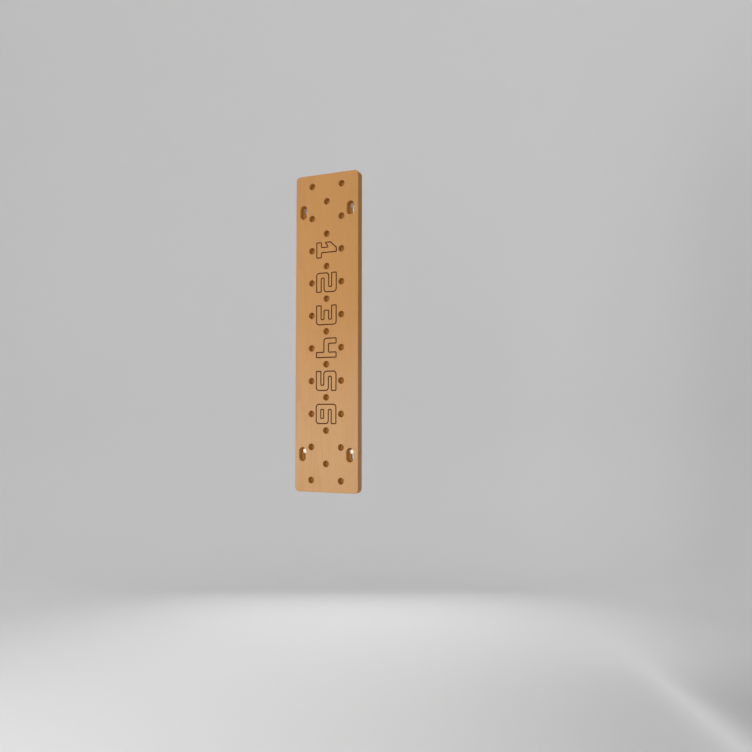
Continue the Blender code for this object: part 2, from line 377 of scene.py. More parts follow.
def piece(name, mesh, material, body, node, sharp=SHARP_ANGLE):
    """An object at the origin, faces outwards and smooth up to the sharp angle, on its body."""
    shape = bmesh.new()
    shape.from_mesh(mesh)
    bmesh.ops.recalc_face_normals(shape, faces=shape.faces)
    open_edges = sum(1 for edge in shape.edges if len(edge.link_faces) != 2)
    shape.to_mesh(mesh)
    shape.free()
    mesh.shade_smooth()
    mesh.set_sharp_from_angle(angle=sharp)
    mesh.materials.append(material)
    made = bpy.data.objects.new(name, mesh)
    scene.collection.objects.link(made)
    evenly = made.modifiers.new("flat_faces_lead", "WEIGHTED_NORMAL")
    evenly.keep_sharp = True
    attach(made, body)
    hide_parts(node)
    print(name, len(mesh.polygons), "faces,", open_edges, "open edges")
    return made


print("edges stay crisp from", round(math.degrees(SHARP_ANGLE)), "degrees")

# %% [markdown]
# ## Shader maths
#
# A procedural finish is arithmetic on coordinates. Wired by hand, a dozen additions fill a
# screen. `Field` wraps one node socket and gives it plus, minus and times, so that a pattern
# reads as a formula, and each expression adds its own Math nodes. Numbers alone stay in Python.

# %% A value over the surface


class Field:
    """A value over the surface: one output socket, with arithmetic that adds Math nodes."""

    def __init__(self, tree, socket):
        self.tree = tree
        self.socket = socket

    def node(self, kind, settings=None, inputs=None, output=0):
        """Any other node: its settings are set first, then its sockets get values or links."""
        made = self.tree.nodes.new(kind)
        for name, value in (settings or {}).items():
            setattr(made, name, value)
        for socket, value in (inputs or {}).items():
            feed(self.tree, made.inputs[socket], value)
        return Field(self.tree, made.outputs[output])

    def math(self, operation, *others):
        """A Math node on this value and any others, in their order."""
        return self.node("ShaderNodeMath", {"operation": operation}, dict(enumerate((self, *others))))

    def __add__(self, other):
        return self.math("ADD", other)

    __radd__ = __add__

    def __mul__(self, other):
        return self.math("MULTIPLY", other)

    __rmul__ = __mul__

    def __sub__(self, other):
        return self.math("SUBTRACT", other)

    def __rsub__(self, other):
        return self * -1.0 + other

    def step(self, low, high):
        """0 below low and 1 above high, with a smooth rise between them; high may be the lower."""
        settings = {"interpolation_type": "SMOOTHSTEP"}
        return self.node("ShaderNodeMapRange", settings, {0: self, 1: low, 2: high, 3: 0.0, 4: 1.0})

    def mixed(self, low, high):
        """A colour between two, with this value as the share of the second."""
        settings = {"data_type": "RGBA", "clamp_factor": True}
        return self.node("ShaderNodeMix", settings, {0: self, 6: low, 7: high}, output=2)

    def part(self, axis):
        """One coordinate of a place: X, Y or Z."""
        return self.node("ShaderNodeSeparateXYZ", {}, {0: self}, output=axis)

    def mark(self, name):
        """A number that the mesh carries at each point."""
        return self.node("ShaderNodeAttribute", {"attribute_name": name}, output="Fac")

    def stretched(self, scale):
        """Coordinates multiplied by a scale for each axis."""
        return self.node("ShaderNodeVectorMath", {"operation": "MULTIPLY"}, {0: self, 1: scale})

    def drawn_out(self, share):
        """Coordinates whose Z counts only this share, which draws a pattern out along the board."""
        return self.stretched((1.0, 1.0, share))

    def noise(self, scale=1.0, detail=2.0, roughness=0.5):
        """Soft clouds from 0 to 1, about `scale` of them in a metre, with finer ones laid over."""
        inputs = {"Vector": self, "Scale": scale, "Detail": detail, "Roughness": roughness}
        return self.node("ShaderNodeTexNoise", {}, inputs)

    def bump(self, strength, distance):
        """Normals tilted as if this value were a height, times a distance in metres."""
        inputs = {"Strength": strength, "Distance": distance, "Height": self}
        return self.node("ShaderNodeBump", {}, inputs)


print("reflected forms:", [name for name in vars(Field) if name.startswith("__r")])

# %% Start and feed a material


def feed(tree, socket, value):
    """Puts a number, a colour or another field into a socket."""
    if isinstance(value, Field):
        tree.links.new(value.socket, socket)
    elif isinstance(value, tuple) and socket.type == "RGBA":
        socket.default_value = (*value, 1.0)
    else:
        socket.default_value = value


def new_material(name):
    """An empty finish: the material, its Principled shader, and its Object coordinates."""
    material = bpy.data.materials.new(name)
    material.use_nodes = True
    tree = material.node_tree
    start = tree.nodes.new("ShaderNodeTexCoord")
    return material, tree.nodes["Principled BSDF"], Field(tree, start.outputs["Object"])


def set_shader(shader, **values):
    """Feeds the shader's sockets by name, with underscores for spaces."""
    for name, value in values.items():
        feed(shader.id_data, shader.inputs[name.replace("_", " ")], value)


print("materials before any finish is made:", len(bpy.data.materials))

# %% [markdown]
# ## Growth rings
#
# The plank is beech: a dense, even, pinkish tan wood. From a few steps away it is one colour. Up
# close its largest figure is that of the growth rings. A picture of boards could be laid on each
# face, but then the rings wouldn't meet at the edges. Here the pattern is solid: every point
# asks how far it lies from a tree's centre behind the board. On the front the rings come out as
# soft, nearly straight stripes of uneven width, and on the ends as arcs, as on a sawn plank.

# %% Growth rings
TREE_CENTRE_X = -0.085
TREE_CENTRE_Y = 0.240
RING_SPACING = 0.0034
TRUNK_BEND = 0.07
BENDS_PER_METRE = (1.6, 1.6, 0.8)
LEAN_YEARS = 14.0
LEAN_TIMES_PER_METRE = 9.0
RING_WOBBLE = 1.2
WOBBLES_PER_METRE = 26.0
LATE_WOOD_STARTS, LATE_WOOD_ENDS = 0.30, 0.95


def late_wood(at):
    """1 in each year's dark late wood, 0 in its early wood.

    The distance from the tree's centre is counted in ring widths. One slow noise shifts whole
    years, which makes some lean and some fat, and a quicker one makes the rings wobble. What is
    left behind the decimal point runs from 0 to 1 in each year. The late wood rises slowly
    along it and breaks off at its end.
    """
    bend = (at.stretched(BENDS_PER_METRE).noise(detail=1.5) - 0.5) * TRUNK_BEND
    across = at.part("X") - TREE_CENTRE_X + bend
    behind = at.part("Y") - TREE_CENTRE_Y
    distance = (across * across + behind * behind).math("SQRT")
    lean = at.drawn_out(0.08).noise(LEAN_TIMES_PER_METRE, 1.0) * LEAN_YEARS
    wobble = at.drawn_out(0.15).noise(WOBBLES_PER_METRE) * RING_WOBBLE
    season = (distance * (1 / RING_SPACING) + lean + wobble).math("FRACT")
    return season.step(LATE_WOOD_STARTS, LATE_WOOD_ENDS) * season.step(1.0, LATE_WOOD_ENDS)


nearest = TREE_CENTRE_Y - FRONT
furthest = math.hypot(nearest, HALF_WIDTH - TREE_CENTRE_X)
print("the front cuts through about", round((furthest - nearest) / RING_SPACING), "growth rings")

# %% [markdown]
# ## Fibres and rays
#
# Finer than the rings are the fibres, which run up the board as streaks, and the rays of the
# tree, which show as short dark flecks among them. Streaks could be drawn with a Wave texture,
# but its lines are evenly spaced. Noise on coordinates that hardly count along Z gives streaks
# of all widths. The flecks are the middles of stretched Voronoi cells, where another noise lets
# them through, so that they come in groups.

# %% Fibres and rays
STREAKS_PER_METRE = 420.0
FIBRES_PER_METRE = 1900.0
FLECKS_PER_METRE = (620.0, 620.0, 190.0)
FLECK_RIM, FLECK_MIDDLE = 0.32, 0.08
FLECK_GROUPS_PER_METRE = 60.0


def streaks_of(at):
    """Streaks about 2 mm wide and 60 times as long, from 0 to 1."""
    return at.drawn_out(0.016).noise(STREAKS_PER_METRE, 3.0, 0.6)


def fibres_of(at):
    """Single fibres about half a millimetre wide and 50 times as long, from 0 to 1."""
    return at.drawn_out(0.020).noise(FIBRES_PER_METRE, 2.0, 0.6)


def flecks_of(at):
    """1 in the middle of a ray, 0 beside it: near a cell's centre, where groups are let through."""
    cells = at.stretched(FLECKS_PER_METRE)
    distance = cells.node("ShaderNodeTexVoronoi", {"feature": "F1"}, {"Vector": cells, "Scale": 1.0})
    groups = at.noise(FLECK_GROUPS_PER_METRE).step(0.40, 0.68)
    return distance.step(FLECK_RIM, FLECK_MIDDLE) * groups


print("a fleck's cell is", [round(1000 / count, 1) for count in FLECKS_PER_METRE], "mm")

# %% [markdown]
# ## Oiled wood
#
# A sanded face drinks little oil and stays light. Towards the board's foot it is painted paler
# and pinker: a painted sheen, the light that the lower part catches, put into the wood's colour.
# A freshly cut wall drinks more, most where the cutter met the fibres end on, so holes and slots
# are a deeper orange brown, and the ends of the plank are darker than its faces. The walls of
# holes and slots are also painted brighter than their shade would leave them: painted fill light.
# The fast thin cutter that drew the numbers scorched them, which leaves them darkest. The marks
# on the mesh say which of these a point is.
#
# In relief the fibres stand up a little, the flecks lie low, and a cut wall has the fine spiral
# that a turning cutter leaves while it is fed along.

# %% Wood finish
WOOD_LIGHT = (0.534, 0.268, 0.090)
WOOD_DARK = (0.428, 0.193, 0.055)
# the paler, pinker foot is painted sheen: light on the lower part put into the colour
WOOD_PAINTED_SHEEN = (0.592, 0.344, 0.163)
PAINTED_SHEEN_FROM, PAINTED_SHEEN_TO = 0.20, -0.50
FLECK_BROWN = (0.300, 0.120, 0.034)
# a real oiled brown, painted brighter than shade leaves a cut wall: painted fill light
CUT_BROWN_WITH_PAINTED_FILL = (0.578, 0.288, 0.068)
CUT_DARK = (0.452, 0.198, 0.044)
ENGRAVED_BROWN = (0.095, 0.022, 0.003)
ENGRAVED_DARK = (0.038, 0.008, 0.001)
END_GRAIN_FROM, END_GRAIN_TO = 0.55, 0.98
CUTTER_FEED = 0.00045
WOOD_RELIEF = 0.0002
WOOD_GLOSS = 0.22


def wood_finish():
    """Sanded colour, cut walls over it and engraving over both; fibres and feed marks in relief."""
    material, shader, at = new_material("oiled_beech_wood")
    late, streaks, fibres, flecks = late_wood(at), streaks_of(at), fibres_of(at), flecks_of(at)
    cut, engraved = at.mark("cut"), at.mark("engraved")
    end_grain = at.mark("across_fibres").step(END_GRAIN_FROM, END_GRAIN_TO)

    # the sanded plank: rings come and go on its faces and show fully on its ends
    ring_strength = at.drawn_out(0.3).noise(14.0) * 0.25 + end_grain * 0.45 + 0.01
    tone = at.drawn_out(0.35).noise(6.0, 1.0)
    shade = late * ring_strength + streaks * 0.46 + fibres * 0.35 + tone * 0.35 - 0.37
    # paler towards the foot: painted sheen, not the wood's own tone
    light = at.part("Z").step(PAINTED_SHEEN_FROM, PAINTED_SHEEN_TO).mixed(WOOD_LIGHT, WOOD_PAINTED_SHEEN)
    sanded = (flecks * 0.5).mixed(shade.mixed(light, WOOD_DARK), FLECK_BROWN)

    # what has drunk more oil: the plank's ends, cut walls, and the engraving; cut walls also get
    # painted fill light
    oiled = (end_grain * 0.5).mixed(sanded, CUT_DARK)
    walls = (fibres * 0.6 + end_grain * 0.35).mixed(CUT_BROWN_WITH_PAINTED_FILL, CUT_DARK)
    scorched = streaks.mixed(ENGRAVED_DARK, ENGRAVED_BROWN)
    coloured = engraved.mixed(cut.mixed(oiled, walls), scorched)

    feed_marks = (at.mark("along_cut") * (2 * math.pi / CUTTER_FEED)).math("SINE")
    relief = fibres * 0.7 + streaks * 0.3 - flecks * 0.5 + feed_marks * cut * 0.35
    roughness = fibres * 0.14 - late * 0.05 + cut * 0.16 + engraved * 0.35 + 0.42
    set_shader(shader, Base_Color=coloured, Roughness=roughness, Normal=relief.bump(0.35, WOOD_RELIEF))
    set_shader(shader, Specular_IOR_Level=WOOD_GLOSS)
    return material


wood = wood_finish()
print("wood finish has", len(wood.node_tree.nodes), "nodes")

# %% [markdown]
# ## The numbers
#
# A row of outlined numbers runs down the middle of the front, one between each pair of centre
# holes, turned to read downwards. Blender's text objects could write them, but a font's curves
# don't look cut by a router. So each number is a polygon of bars, given by a few corners and
# walked anticlockwise. The edges of a middle bar, and the stem, foot and flag of the 1, are all
# worked out from the width, the height and the thickness of a bar. A 5 starts out as a 6 whose
# lower left is left open.

# %% Shapes of the numbers
NUMBER_WIDTH = 0.082
NUMBER_HEIGHT = 0.094
BAR = 0.022
NUMBERS = "123456"

W, H = NUMBER_WIDTH, NUMBER_HEIGHT
LOW, HIGH = (H - BAR) / 2, (H + BAR) / 2
STEM = (W - BAR) / 2
FOOT = 0.1 * W
TONGUE = 0.25 * W
FLAG_START = STEM + 0.2 * BAR
FLAG_TOP, FLAG_TIP, FLAG_UNDER = H - 1.3 * BAR, H - 2.5 * BAR, H - 1.6 * BAR

ONE = [
    (FOOT, 0), (W - FOOT, 0), (W - FOOT, BAR), (STEM + BAR, BAR), (STEM + BAR, H),
    (FLAG_START, H), (FOOT, FLAG_TOP), (FOOT, FLAG_TIP), (STEM, FLAG_UNDER), (STEM, BAR), (FOOT, BAR),
]
TWO = [
    (0, 0), (W, 0), (W, BAR), (BAR, BAR), (BAR, LOW), (W, LOW), (W, H), (0, H),
    (0, H - BAR), (W - BAR, H - BAR), (W - BAR, HIGH), (0, HIGH),
]
THREE = [
    (0, 0), (W, 0), (W, H), (0, H), (0, H - BAR), (W - BAR, H - BAR), (W - BAR, HIGH),
    (TONGUE, HIGH), (TONGUE, LOW), (W - BAR, LOW), (W - BAR, BAR), (0, BAR),
]
FOUR = [
    (W - BAR, 0), (W, 0), (W, H), (W - BAR, H), (W - BAR, HIGH), (BAR, HIGH),
    (BAR, H), (0, H), (0, LOW), (W - BAR, LOW),
]
SIX = [(0, 0), (W, 0), (W, HIGH), (BAR, HIGH), (BAR, H - BAR), (W, H - BAR), (W, H), (0, H)]
SIX_EYE = [(BAR, BAR), (W - BAR, BAR), (W - BAR, LOW), (BAR, LOW)]
FIVE = SIX + [(0, LOW), (W - BAR, LOW), (W - BAR, BAR), (0, BAR)]
NUMBER_SHAPES = {"1": [ONE], "2": [TWO], "3": [THREE], "4": [FOUR], "5": [FIVE], "6": [SIX, SIX_EYE]}
print("corners in each number:", {name: sum(map(len, shape)) for name, shape in NUMBER_SHAPES.items()})

# %% [markdown]
# ## The numbers' outlines
#
# The cutter that follows a number rounds its corners: bends between two long sides are wide,
# the ends of bars are tight, and inner corners lie in between. The sides beside a corner tell
# which it is, so no radius is written by hand.

# %% Outlines of the numbers
BEND_RADIUS = 0.013
BAR_END_RADIUS = 0.0028
INNER_RADIUS = 0.0045
LONG_SIDE = 1.35 * BAR
NUMBER_ARC_STEPS = 7
NUMBER_STEP = 0.012


def corner_radii(corners):
    """A radius for each corner, from its turn and the shorter of its two sides."""
    corners = np.array(corners)
    before = corners - np.roll(corners, 1, axis=0)
    after = np.roll(before, -1, axis=0)
    shorter = np.minimum(np.linalg.norm(before, axis=1), np.linalg.norm(after, axis=1))
    turns_left = before[:, 0] * after[:, 1] - before[:, 1] * after[:, 0] > 0
    outer = np.where(shorter > LONG_SIDE, BEND_RADIUS, BAR_END_RADIUS)
    return np.where(turns_left, outer, INNER_RADIUS)


def number_paths():
    """Every outline of every number, turned a quarter right: (x, z) becomes (z, -x)."""
    in_the_middle = abs(peg_holes[:, 0]) < PEG_HOLE_RADIUS
    centre_holes = np.sort(peg_holes[in_the_middle, 1])[::-1]
    gaps = (centre_holes[:-1] + centre_holes[1:]) / 2
    first = (len(gaps) - len(NUMBERS)) // 2
    paths = []
    for number, z in zip(NUMBERS, gaps[first:]):
        for corners in NUMBER_SHAPES[number]:
            radii = corner_radii(corners)
            points, outward = rounded_path(corners, radii, NUMBER_ARC_STEPS, NUMBER_STEP)
            points = points - np.array([W / 2, H / 2])
            turned = np.stack([points[:, 1], z - points[:, 0]], axis=-1)
            paths.append((turned, np.stack([outward[:, 1], -outward[:, 0]], axis=-1)))
    return paths


number_outlines = number_paths()
print(len(number_outlines), "engraved outlines for the numbers", NUMBERS)

# %% [markdown]
# ## Profiles
#
# Four profiles make every edge of the board: the rounded edge that runs round the plank, a peg
# hole, a bolt slot, and the engraved groove. Each could be a Bevel with its own width, but a
# bevel doesn't know a cutter's whole way down: over the broken rim, along the wall, round the
# corner and across the floor. A profile is a table of (out, y) points, with a row of marks for
# each, and most of its rows come from short arcs.

# %% Arcs and marks
SANDED, ROUTED, ENGRAVED = (0.0, 0.0), (1.0, 0.0), (0.0, 1.0)


def arc(centre, radius, first, last, steps):
    """Points (out, y) on a circle, from one angle to another in degrees."""
    share = np.linspace(0, 1, steps + 1)[:, None]
    angle = np.radians(first + (last - first) * share)
    around = np.concatenate([np.cos(angle), np.sin(angle)], axis=1)
    return np.array(centre) + radius * around


def marked(points, start, end=None):
    """Points with marks beside them, which fade evenly from a start to an end if both are given."""
    share = np.linspace(0, 1, len(points))[:, None]
    marks = np.array(start) * (1 - share) + np.array(end or start) * share
    return np.concatenate([points, marks], axis=1)


def with_length(profile):
    """A profile whose rows carry one more mark: the way along it so far, from row to row."""
    steps = np.linalg.norm(np.diff(profile[:, :2], axis=0), axis=1)
    return np.column_stack([profile, np.concatenate([[0.0], np.cumsum(steps)])])


quarter = with_length(marked(arc((0.0, 0.0), 1.0, 0, 90, 8), SANDED, ROUTED))
print("a quarter circle in 8 steps is", round(quarter[-1, -1], 3), "radii long")

# %% Profiles of the edge and the holes
EDGE_RADIUS = 0.003
EDGE_STEPS = 8
RIM_RADIUS = 0.001
RIM_STEPS = 5
FLOOR_CORNER = 0.0007
CORNER_STEPS = 4
CENTRE_MARK_RADIUS = 0.0018
CENTRE_MARK_DEPTH = 0.0014


def edge_profile():
    """Front edge, side and back edge of the plank: two quarter circles with the side between."""
    front = arc((-EDGE_RADIUS, FRONT + EDGE_RADIUS), EDGE_RADIUS, -90, 0, EDGE_STEPS)
    back = arc((-EDGE_RADIUS, BACK - EDGE_RADIUS), EDGE_RADIUS, 0, 90, EDGE_STEPS)
    return marked(np.concatenate([front, back]), SANDED)


def rim_profile():
    """The broken rim that every hole and slot has in the front face: a quarter circle."""
    rim = arc((RIM_RADIUS, FRONT + RIM_RADIUS), RIM_RADIUS, -90, -180, RIM_STEPS)
    return marked(rim, SANDED, ROUTED)


def peg_hole_profile():
    """Rim, wall, floor, and the small cone that a flat bit's point leaves in its centre."""
    turn = (-FLOOR_CORNER, PEG_HOLE_FLOOR - FLOOR_CORNER)
    corner = arc(turn, FLOOR_CORNER, 0, 90, CORNER_STEPS)
    cone_rim = (CENTRE_MARK_RADIUS - PEG_HOLE_RADIUS, PEG_HOLE_FLOOR)
    cone_tip = (-PEG_HOLE_RADIUS, PEG_HOLE_FLOOR + CENTRE_MARK_DEPTH)
    return np.concatenate([rim_profile(), marked([*corner, cone_rim, cone_tip], ROUTED)])


print("profile rows: edge", len(edge_profile()), "and peg hole", len(peg_hole_profile()))

# %% Profiles of the slot and the groove
NARROW_RIM = 0.0005
GROOVE_HALF_WIDTH = 0.0024
GROOVE_DEPTH = 0.0018
GROOVE_LIP = 0.00025
LIP_STEPS = 2
BOWL_STEPS = 8


def slot_profile():
    """Rim and recess wall, the ledge that the bolt's washer pulls on, and the narrow slot."""
    narrow = (NARROW_SLOT_WIDTH - RECESS_WIDTH) / 2
    turn = (-FLOOR_CORNER, RECESS_FLOOR - FLOOR_CORNER)
    ledge = arc(turn, FLOOR_CORNER, 0, 90, CORNER_STEPS)
    lip = arc((narrow + NARROW_RIM, RECESS_FLOOR + NARROW_RIM), NARROW_RIM, -90, -180, CORNER_STEPS)
    back_rim = arc((narrow + NARROW_RIM, BACK - NARROW_RIM), NARROW_RIM, 180, 90, CORNER_STEPS)
    walls = marked(np.concatenate([ledge, lip]), ROUTED)
    return np.concatenate([rim_profile(), walls, marked(back_rim, ROUTED, SANDED)])


def groove_profile():
    """A round-bottomed groove, half an ellipse deep, with lips that the cutter broke slightly."""
    lip_y = FRONT + GROOVE_LIP
    out = GROOVE_HALF_WIDTH + GROOVE_LIP
    near = arc((out, lip_y), GROOVE_LIP, -90, -180, LIP_STEPS)
    far = arc((-out, lip_y), GROOVE_LIP, 0, -90, LIP_STEPS)
    angle = np.linspace(0, np.pi, BOWL_STEPS + 1)[1:-1]
    depth = (GROOVE_DEPTH - GROOVE_LIP) * np.sin(angle)
    bowl = np.stack([GROOVE_HALF_WIDTH * np.cos(angle), lip_y + depth], axis=-1)
    lips = marked(near, SANDED, ENGRAVED), marked(far, ENGRAVED, SANDED)
    return np.concatenate([lips[0], marked(bowl, ENGRAVED), lips[1]])


print("profile rows: slot", len(slot_profile()), "and groove", len(groove_profile()))

# %% [markdown]
# ## The board
#
# Now the board is a list of runs, each an outline with the profile that is carried round it. A
# peg hole was cut with a flat bit. A bolt slot is a wide recess for the head, stepped down to a
# narrow slot for the shank, so that the bolt can slide while its head stays sunk. Where a
# profile starts or ends in the front or the back, its ring there is also an outline of that
# flat face, so faces and walls share their points and close without a gap.

# %% Build the board


def outlines_at(runs, depth):
    """The rings in which profiles start or end at this depth: outline plus directions times out."""
    rings = []
    for (points, outward), profile in runs:
        for out, y in profile[[0, -1], :2]:
            if abs(y - depth) < WELD:
                rings.append(points + out * outward)
    return rings


def routed_board():
    """Every profile carried round its outlines, and the two flat faces between them."""
    profiles = (edge_profile(), peg_hole_profile(), slot_profile(), groove_profile())
    edge, hole, slot, groove = (with_length(profile) for profile in profiles)
    runs = [(board_outline, edge)]
    runs += [(path, hole) for path in peg_hole_outlines]
    runs += [(path, slot) for path in slot_outlines]
    runs += [(path, groove) for path in number_outlines]
    patches = [band(path, profile) for path, profile in runs]
    patches += [flat(outlines_at(runs, y), y, (*SANDED, 0.0)) for y in (FRONT, BACK)]
    mesh = welded("routed_board", patches, ("cut", "engraved", "along_cut"))
    return piece("routed_board", mesh, wood, "board", "board")


board = routed_board()

# %% [markdown]
# ## End grain
#
# Where a surface cuts the fibres end on, the wood shows its rings and drinks oil. A Geometry node
# gives the surface's normal too, but in the world's directions, so the end grain would wander if
# the board were turned. The mesh has its own normals. The share of each that points along the
# fibres, which run along Z, becomes one more mark.

# %% Mark the end grain
FACES_UP_OR_DOWN = 0.9


def mark_across_fibres(mesh):
    """Marks how squarely each point's surface cuts the fibres: its normal's share along Z."""
    normals = np.empty(3 * len(mesh.vertices), np.float32)
    mesh.vertex_normals.foreach_get("vector", normals)
    squareness = abs(normals[2::3])
    mesh.attributes.new("across_fibres", "FLOAT", "POINT").data.foreach_set("value", squareness)
    return squareness


squareness = mark_across_fibres(board.data)
print("end grain at", int((squareness > FACES_UP_OR_DOWN).sum()), "of", len(squareness), "points")

# %% [markdown]
# ## Bright zinc
#
# The bolts, washers and nuts are zinc plated steel: bright, with a soft grain from the plating
# bath and, on turned faces, fine rings left by the lathe. Their colour is slightly warm, more so
# in soft clouds: a painted reflection, the warm light that comes back from the wood round them
# put into the metal's colour. A ring texture could be centred on one bolt by a Mapping node, but
# there are four. So each piece carries the distance from its own axis as a mark, and one
# material fits them all.

# %% Zinc finish
ZINC = (0.74, 0.69, 0.63)
# a painted reflection: the wood's warm light put into the metal's colour
ZINC_PAINTED_WARM_REFLECTION = (0.76, 0.69, 0.59)
CLOUDS_PER_METRE = 160.0
GRAINS_PER_METRE = 2400.0
LATHE_FEED = 0.0003927
ZINC_RELIEF = 0.00006


def zinc_finish():
    """Metal whose painted warm reflection follows soft clouds, with grain and lathe rings as a fine
    relief.
    """
    material, shader, at = new_material("bright_zinc")
    clouds = at.noise(CLOUDS_PER_METRE, 3.0)
    grain = at.noise(GRAINS_PER_METRE)
    lathe_rings = (at.mark("from_axis") * (2 * math.pi / LATHE_FEED)).math("SINE") * 0.5 + 0.5
    # the warmer clouds are a painted reflection of the warm light from the wood
    colour = clouds.step(0.40, 0.70).mixed(ZINC, ZINC_PAINTED_WARM_REFLECTION)
    relief = (grain * 0.6 + lathe_rings * 0.4).bump(0.25, ZINC_RELIEF)
    roughness = clouds * 0.16 + grain * 0.10 + 0.20
    set_shader(shader, Base_Color=colour, Roughness=roughness, Normal=relief, Metallic=1.0)
    return material


zinc = zinc_finish()
print("zinc finish has", len(zinc.node_tree.nodes), "nodes")

# %% [markdown]
# ## The hexagon
#
# Head and nut share a hexagon 18 mm across its flats. A lathe turned a 30 degree chamfer on its
# end, and a round chamfer meets each flat in a curve. A Boolean with a cone would give that
# curve. It is also a plain rule: the further a point lies from the axis, the further back its
# flat starts. The hexagon's few sharp corners are rounded a little, as a forged head's are.

# %% Hexagon
HEX_FLATS = 0.018
HEX_EDGE_ROUNDING = 0.0004
HEX_EDGE_STEPS = 3
HEX_STEP = 0.0021
HEX_END_RADIUS = 0.0086
CHAMFER = math.tan(math.radians(30))

hex_angles = np.radians(30 + 60 * np.arange(6))
hex_corners = HEX_FLATS / math.sqrt(3) * np.stack([np.cos(hex_angles), np.sin(hex_angles)], axis=-1)
hex_outline, _ = rounded_path(hex_corners, HEX_EDGE_ROUNDING, HEX_EDGE_STEPS, HEX_STEP)
hex_reach = np.linalg.norm(hex_outline, axis=1)
hex_around = hex_outline / hex_reach[:, None]
hex_drop = (hex_reach - HEX_END_RADIUS) * CHAMFER


def about_axis(name, rows, axis):
    """A closed skin about an axis, out of rows of (ring, y), marked with the rings' mean radius."""
    rings = np.stack([ring for ring, y in rows])
    depths = np.stack([np.broadcast_to(y, rings.shape[1]) for ring, y in rows])
    radius = np.linalg.norm(rings, axis=2).mean(axis=1, keepdims=True)
    return welded(name, [lofted(rings + axis, depths, radius)], ("from_axis",))


print("a hexagon has", len(hex_outline), "points round it")
print("its chamfer is", round(hex_drop.max() * 1000, 2), "mm high at the corners")

# %% [markdown]
# ## Bolts
#
# A bolt is the hexagon head, a thin washer face under it, and a shank whose last 30 mm are
# threaded. A Screw modifier can wind a thread, but not fade it into the shank or end it in a
# cone. As a formula it is one ridge: its height depends on the place along the bolt plus the
# turn round it, with a flat crest an eighth of the pitch wide and a flat root of a quarter.

# %% Thread
BOLT_RADIUS = 0.006
THREAD_PITCH = 0.00175
THREAD_DEPTH = 0.00107
THREAD_LENGTH = 0.030
CREST_FLAT, ROOT_FLAT = 1 / 8, 1 / 4
TIP_CHAMFER = 0.0011
STEPS_PER_TURN = 14


def thread_radius(y, first, last, angle):
    """Radius of the threaded shank at each y and angle.

    A crest lies where y in pitches plus the angle in turns is halfway between whole numbers.
    From there the ridge falls evenly, between its flats, to the root. It deepens over the
    thread's first turn, and the tip's cone cuts off what stands outside it.
    """
    phase = (y / THREAD_PITCH + angle / (2 * np.pi)) % 1.0
    from_crest = abs(phase - 0.5) * 2
    height = np.clip((1 - ROOT_FLAT - from_crest) / (1 - ROOT_FLAT - CREST_FLAT), 0, 1)
    fade = np.clip((y - first) / THREAD_PITCH, 0, 1)
    threaded = BOLT_RADIUS - THREAD_DEPTH * fade * (1 - height)
    tip = BOLT_RADIUS - TIP_CHAMFER + (last - y)
    return np.minimum(threaded, tip)


thread_turns = THREAD_LENGTH / THREAD_PITCH
print("the thread turns", round(thread_turns, 1), "times")

# %% Make the bolts
HEAD_HEIGHT = 0.0075
WASHER_FACE = 0.00025


def bolt_mesh(fixing):
    """Head from its front face back, washer face, plain shank, thread and tip, about its own axis."""
    low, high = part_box(f"bolt_{fixing}")
    front, tip = low.y, high.y
    under = front + HEAD_HEIGHT
    thread_start = tip - THREAD_LENGTH
    rows = [
        (0 * hex_around, front),
        (HEX_END_RADIUS / 2 * hex_around, front),
        (HEX_END_RADIUS * hex_around, front),
        (hex_outline, front + hex_drop),
        (hex_outline, under),
        (HEX_END_RADIUS * hex_around, under),
        (HEX_END_RADIUS * hex_around, under + WASHER_FACE),
        (BOLT_RADIUS * hex_around, under + WASHER_FACE),
        (BOLT_RADIUS * hex_around, thread_start),
    ]
    steps = round(thread_turns * STEPS_PER_TURN)
    y = np.linspace(thread_start, tip, steps + 1)[1:, None]
    angle = np.arctan2(hex_around[:, 1], hex_around[:, 0])
    radius = thread_radius(y, thread_start, tip, angle)
    rows += zip(radius[..., None] * hex_around, y)
    rows.append((0 * hex_around, tip))
    return about_axis(f"bolt_{fixing}", rows, bolt_axes[fixing])


for fixing in FIXINGS:
    node = f"bolt_{fixing}"
    body = f"fixing_{fixing}"
    mesh = bolt_mesh(fixing)
    piece(f"threaded_{node}", mesh, zinc, body, node, SHARP_ANGLE_OF_FLATS)

# %% [markdown]
# ## Washers
#
# A washer is stamped out of sheet: the punch leaves one face with softly rolled edges and the
# other with crisp ones. Two cylinders and a Boolean would give a washer with four equal edges.
# Here it is a small profile carried round a circle of no radius, so that the profile's first
# number is simply the distance from the axis.

# %% Make the washers
WASHER_BORE_RADIUS = 0.0065
WASHER_ROLL = 0.0005
WASHER_CRISP = 0.00015
ROLL_STEPS = 5
TURNED_SIDES = 96


def turned(name, profile, axis):
    """A profile of (radius, y) turned about an axis, with its radius as a mark."""
    profile = np.array(profile)
    circle = moved(round_path(0.0, TURNED_SIDES), axis)
    patch = band(circle, np.column_stack([profile, profile[:, 0]]))
    return welded(name, [patch], ("from_axis",))


def washer_mesh(node, axis):
    """Outer wall, back face, bore and front face: rolled arcs in front, short chamfers behind."""
    low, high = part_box(node)
    front, back = low.y, high.y
    outer = (high.x - low.x) / 2
    roll, crisp, bore = WASHER_ROLL, WASHER_CRISP, WASHER_BORE_RADIUS
    rolled = arc((outer - roll, front + roll), roll, -90, 0, ROLL_STEPS)
    inner = arc((bore + roll, front + roll), roll, 180, 270, ROLL_STEPS)
    behind = [(outer, back - crisp), (outer - crisp, back), (bore + crisp, back), (bore, back - crisp)]
    return turned(node, [*rolled, *behind, *inner, rolled[0]], axis)


